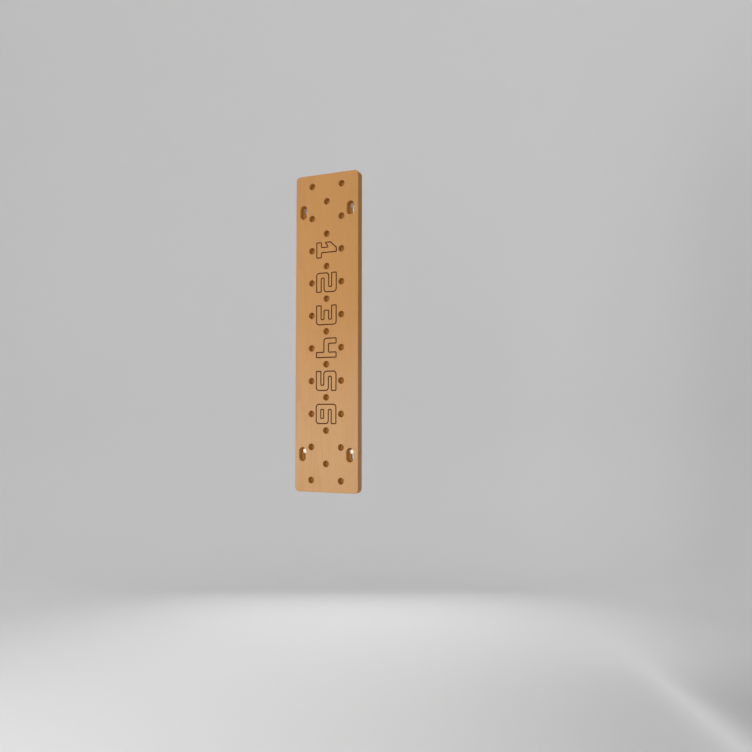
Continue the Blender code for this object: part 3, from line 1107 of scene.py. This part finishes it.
for fixing in FIXINGS:
    for place in ("head", "rear"):
        node = f"{place}_washer_{fixing}"
        mesh = washer_mesh(node, bolt_axes[fixing])
        piece(f"stamped_{node}", mesh, zinc, f"fixing_{fixing}", node)

# %% [markdown]
# ## Lock nuts
#
# A lock nut is the same hexagon, chamfered at both ends, with a round collar behind it. The
# collar's thin lip is rolled in over a nylon ring, which grips the thread. Modelled from a
# cylinder, the change from six sides to round would need new edges cut by hand. Here every ring
# has the hexagon's own points, drawn in to a circle where the nut is round.

# %% Lock nut surface
NUT_HEX_HEIGHT = 0.0085
NUT_BORE_RADIUS = 0.0063
NUT_LEAD_IN = 0.001
COLLAR_RADIUS = 0.0085
COLLAR_LIP = 0.0007
LIP_ROLL = 0.0012
LIP_TURN = 78
LIP_ROLL_STEPS = 6
LIP_DISH = 0.00012
RING_SEAT_RADIUS = 0.0076


def lock_nut_mesh(fixing):
    """Outside from front to back, over the rolled lip, and back through the seat and the bore."""
    low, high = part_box(f"lock_nut_{fixing}")
    front, back = low.y, high.y
    shoulder = front + NUT_HEX_HEIGHT
    shoulder_drop = (hex_reach - COLLAR_RADIUS) * CHAMFER
    outside = [
        (HEX_END_RADIUS * hex_around, front - WASHER_FACE),
        (HEX_END_RADIUS * hex_around, front),
        (hex_outline, front + hex_drop),
        (hex_outline, shoulder - shoulder_drop),
        (COLLAR_RADIUS * hex_around, shoulder),
    ]
    lip = arc((COLLAR_RADIUS - LIP_ROLL, back - LIP_ROLL), LIP_ROLL, 0, LIP_TURN, LIP_ROLL_STEPS)
    hollow = [
        (RING_SEAT_RADIUS - COLLAR_LIP, back - LIP_DISH),
        (RING_SEAT_RADIUS - COLLAR_LIP, back - COLLAR_LIP),
        (RING_SEAT_RADIUS, back - COLLAR_LIP),
        (RING_SEAT_RADIUS, shoulder),
        (NUT_BORE_RADIUS, shoulder),
        (NUT_BORE_RADIUS, front + NUT_LEAD_IN),
        (NUT_BORE_RADIUS + NUT_LEAD_IN, front - WASHER_FACE),
    ]
    rows = outside + [(radius * hex_around, y) for radius, y in [*lip, *hollow]] + outside[:1]
    return about_axis(f"lock_nut_{fixing}", rows, bolt_axes[fixing])


print("the collar's wall is", round((COLLAR_RADIUS - RING_SEAT_RADIUS) * 1000, 1), "mm thick")

# %% [markdown]
# ## Nylon
#
# The ring in a lock nut is natural nylon: a milky white, smooth but never glossy, a little
# uneven where it cooled. True nylon lets light in, which Subsurface could show, but this ring is
# thin and sits in steel, so soft clouds of colour and gloss are enough.

# %% Nylon finish
NYLON = (0.80, 0.81, 0.82)
NYLON_SHADE = (0.72, 0.73, 0.72)
NYLON_CLOUDS_PER_METRE = 300.0
NYLON_RELIEF = 0.0001


def nylon_finish():
    """Two close whites mixed by soft clouds, which also set the gloss and a faint relief."""
    material, shader, at = new_material("natural_nylon")
    clouds = at.noise(NYLON_CLOUDS_PER_METRE)
    colour, roughness = clouds.mixed(NYLON, NYLON_SHADE), clouds * 0.15 + 0.35
    set_shader(shader, Base_Color=colour, Roughness=roughness, Normal=clouds.bump(0.2, NYLON_RELIEF))
    return material


nylon = nylon_finish()
print("nylon finish has", len(nylon.node_tree.nodes), "nodes")

# %% [markdown]
# ## Nylon rings
#
# Each ring is a piece of its own, as it is in a real nut: pressed into its seat, a little
# tighter than the nut's bore so that it grips, and domed where the rolled lip squeezed it out.
# A torus would be round where this one is flat, so it is turned from a profile as a washer is.

# %% Make the lock nuts and their rings
RING_EDGE = 0.0003
RING_DOME = 0.0001
RING_GRIP = 0.0002


def nylon_ring_mesh(fixing):
    """A ring with blunt back edges: outer wall, domed back, bore, and a flat front."""
    low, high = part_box(f"nylon_ring_{fixing}")
    front, back = low.y, high.y
    outer = (high.x - low.x) / 2
    bore = NUT_BORE_RADIUS - RING_GRIP
    profile = [
        (outer, front),
        (outer, back - RING_EDGE),
        (outer - RING_EDGE, back),
        ((outer + bore) / 2, back + RING_DOME),
        (bore + RING_GRIP, back),
        (bore, back - RING_EDGE),
        (bore, front),
        (outer, front),
    ]
    return turned(f"nylon_ring_{fixing}", profile, bolt_axes[fixing])


for fixing in FIXINGS:
    body, nut, ring = f"fixing_{fixing}", f"lock_nut_{fixing}", f"nylon_ring_{fixing}"
    mesh = lock_nut_mesh(fixing)
    piece(f"rolled_{nut}", mesh, zinc, body, nut, SHARP_ANGLE_OF_FLATS)
    piece(f"pressed_{ring}", nylon_ring_mesh(fixing), nylon, body, ring)

# %% [markdown]
# ## Floor
#
# The board hangs well above a plain pale floor, at the height where it is used. A flat plane
# would end in a hard horizon. Instead the floor turns up all round into an upright backdrop, as
# a photographer's paper does, far enough out that the camera never leaves it.

# %% Floor
FLOOR_Z = -1.95
FLOOR_MIDDLE_RADIUS = 1.5
FLOOR_RADIUS = 4.0
COVE_RADIUS = 1.6
COVE_STEPS = 16
BACKDROP_TOP = 4.6
FLOOR_SIDES = 96
STAGE_GREY = (0.80, 0.80, 0.80)


def cove_mesh():
    """A flat disc, a quarter circle up, and an upright backdrop, turned about the Z axis."""
    rise = np.linspace(0, np.pi / 2, COVE_STEPS + 1)
    curve = FLOOR_RADIUS + COVE_RADIUS * np.sin(rise)
    radius = np.concatenate([[0.0, FLOOR_MIDDLE_RADIUS], curve, [FLOOR_RADIUS + COVE_RADIUS]])
    climb = FLOOR_Z + COVE_RADIUS * (1 - np.cos(rise))
    height = np.concatenate([[FLOOR_Z, FLOOR_Z], climb, [BACKDROP_TOP]])
    around = round_path(1.0, FLOOR_SIDES)[0]
    points = np.empty((len(radius), FLOOR_SIDES, 3))
    points[..., :2] = radius[:, None, None] * around
    points[..., 2] = height[:, None]
    points = points.reshape(-1, 3)
    return welded("floor", [(points, quads_between(len(radius), FLOOR_SIDES), points[:, :0])], ())


def stage_paint(name, colour):
    """A plain matt paint, with next to no shine."""
    material, shader, _ = new_material(name)
    set_shader(shader, Base_Color=colour, Roughness=0.9, Specular_IOR_Level=0.1)
    return material


floor_mesh = cove_mesh()
floor_mesh.shade_smooth()
floor_mesh.materials.append(stage_paint("pale_floor", STAGE_GREY))
floor = bpy.data.objects.new("floor", floor_mesh)
scene.collection.objects.link(floor)
print("the floor and the backdrop take", len(floor_mesh.polygons), "faces")

# %% [markdown]
# ## Light
#
# The light is soft, so it comes from large panels and not from points or a sun. Two in front and
# one on the left give the face its even tan. A small low one is there for the lower bolt heads
# to mirror, and one behind lights the back. Every panel faces the middle of the board with its
# top up, and the camera looks past it.

# %% Soft panels
LIGHTS = {
    "front_panel": {"place": (0.9, -3.8, -0.2), "size": (1.2, 2.4), "watts": 39.0},
    "left_panel": {"place": (-3.0, -2.0, 0.2), "size": (1.4, 2.4), "watts": 49.5},
    "right_panel": {"place": (2.2, -3.4, 0.2), "size": (1.0, 2.4), "watts": 10.0},
    "low_panel": {"place": (-2.0, -3.8, -0.85), "size": (1.0, 0.9), "watts": 9.5},
    "back_panel": {"place": (-1.4, 3.2, 0.4), "size": (2.8, 3.2), "watts": 36.0},
}


def facing_board(place):
    """The turn of something at a place whose back is +Z and whose top is +Y, towards the origin."""
    return (-Vector(place)).to_track_quat("-Z", "Y")


def soft_panel(name, place, size, watts):
    """A rectangular light that faces the board."""
    light = bpy.data.lights.new(name, "AREA")
    light.shape = "RECTANGLE"
    light.size, light.size_y = size
    light.energy = watts
    panel = bpy.data.objects.new(name, light)
    panel.location = place
    panel.rotation_euler = facing_board(place).to_euler()
    panel.visible_camera = False
    scene.collection.objects.link(panel)


for name, facts in LIGHTS.items():
    soft_panel(name, **facts)
print(len(LIGHTS), "soft panels,", sum(facts["watts"] for facts in LIGHTS.values()), "W in all")

# %% [markdown]
# ## Dark cards
#
# A photographer also takes light away, with black cards out of the picture. One stands to the
# right of the board, so that its side face comes out much darker than its front. The other
# stands where the upper bolt heads would mirror the bright backdrop. Turning a lamp down would
# darken every face a little, while a card darkens only what it shades. Neither shows to the
# camera.

# %% Dark cards
CARDS = {
    "side_card": {"place": (1.8, 0.85, -0.04), "size": (2.9, 3.3)},
    "upper_card": {"place": (-2.05, -3.8, 1.9), "size": (1.3, 1.5)},
}
CARD_GREY = (0.06, 0.06, 0.06)


def dark_card(name, place, size, paint):
    """A rectangle that faces the board: its half sizes, turned towards the board, plus its place."""
    turn = facing_board(place)
    corners = [(-1, -1), (1, -1), (1, 1), (-1, 1)]
    halves = [Vector((x * size[0] / 2, z * size[1] / 2, 0.0)) for x, z in corners]
    mesh = bpy.data.meshes.new(name)
    mesh.from_pydata([Vector(place) + turn @ half for half in halves], [], [(0, 1, 2, 3)])
    mesh.materials.append(paint)
    card = bpy.data.objects.new(name, mesh)
    card.visible_camera = False
    scene.collection.objects.link(card)


card_paint = stage_paint("dark_card", CARD_GREY)
for name, facts in CARDS.items():
    dark_card(name, paint=card_paint, **facts)
print(len(CARDS), "dark cards")

# %% [markdown]
# ## Sky and tones
#
# A plain white sky fills in from all round, as white screens do in a studio. A picture of a sky
# would give livelier reflections, but it would also tint the wood. The Standard view shows the
# colours as they are, where a filmic one would grey the tan.

# %% Sky and tones
SKY_STRENGTH = 0.71
WHITE = (1.0, 1.0, 1.0, 1.0)

world = bpy.data.worlds.new("soft_sky")
world.use_nodes = True
sky = world.node_tree.nodes["Background"]
sky.inputs["Color"].default_value = WHITE
sky.inputs["Strength"].default_value = SKY_STRENGTH
scene.world = world
scene.view_settings.view_transform = "Standard"
print("sky at", SKY_STRENGTH, "of full white, shown as", scene.view_settings.view_transform)

# %% [markdown] ## Size The dressed model may not outgrow the solid one, or
# it would no longer fit where that one does.
